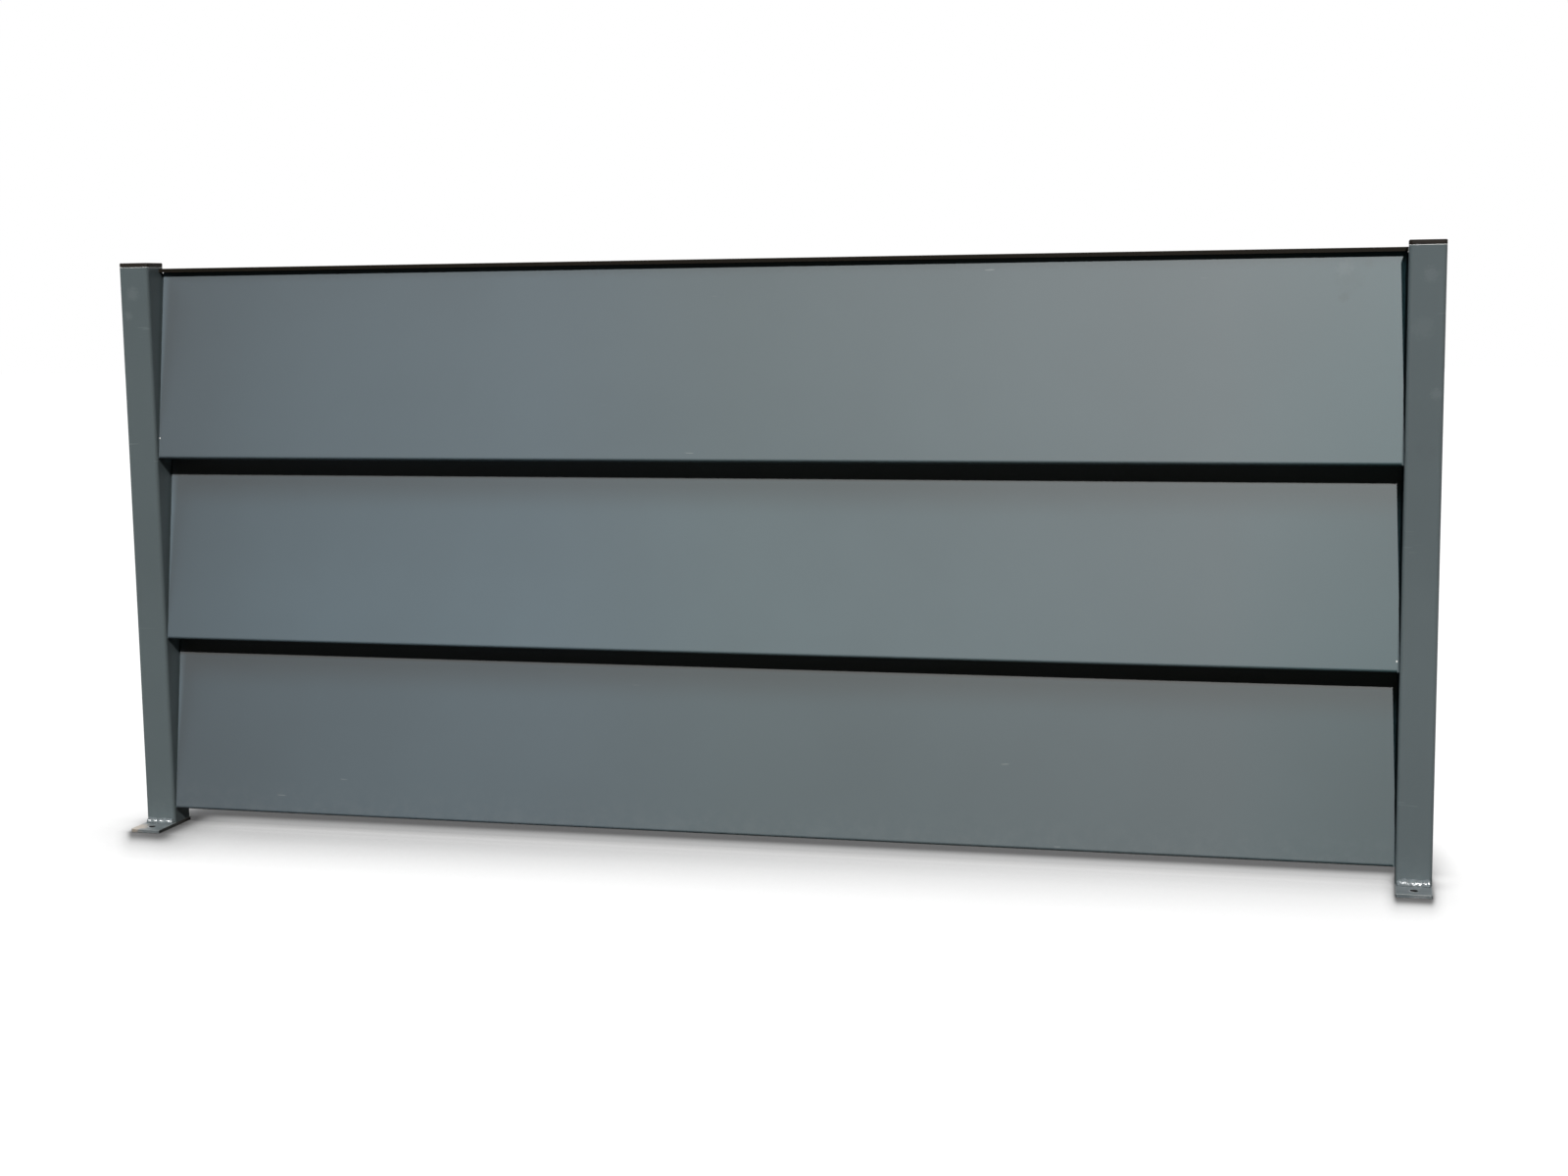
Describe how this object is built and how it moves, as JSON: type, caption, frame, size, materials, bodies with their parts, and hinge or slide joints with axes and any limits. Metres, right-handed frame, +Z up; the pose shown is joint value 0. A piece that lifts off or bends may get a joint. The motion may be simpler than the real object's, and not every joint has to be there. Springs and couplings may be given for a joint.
{
  "type": "metal slat fence",
  "caption": "Free-standing bay of powder-coated steel louvre fence: box posts on bolt-down base plates, wide leaning sheet slats and a dark top edge trim.",
  "frame": {"origin": "underside of the left base plate, on the axis of the left post", "axes": "+X along the fence to the right post, -Y towards the front where the base plates' tongues point, +Z up"},
  "size_m": [2, 0.1, 0.9],
  "materials": {
    "painted_steel": "satin blue-grey powder coat with a fine orange-peel texture",
    "weld_bead": "glossy coat over a rippled weld bead",
    "black_plastic": "matte brownish-black moulded plastic"
  },
  "bodies": {
    "root": {"post_left": "painted_steel", "post_right": "painted_steel", "base_plate_left": "painted_steel", "base_plate_right": "painted_steel", "foot_weld_left": "weld_bead", "foot_weld_right": "weld_bead", "post_cap_left": "black_plastic", "post_cap_right": "black_plastic", "slat_bottom": "painted_steel", "slat_middle": "painted_steel", "slat_top": "painted_steel", "top_trim": "black_plastic", "cleat_bottom_left": "painted_steel", "cleat_bottom_right": "painted_steel", "cleat_middle_left": "painted_steel", "cleat_middle_right": "painted_steel", "cleat_top_left": "painted_steel", "cleat_top_right": "painted_steel"}
  },
  "joints": []
}
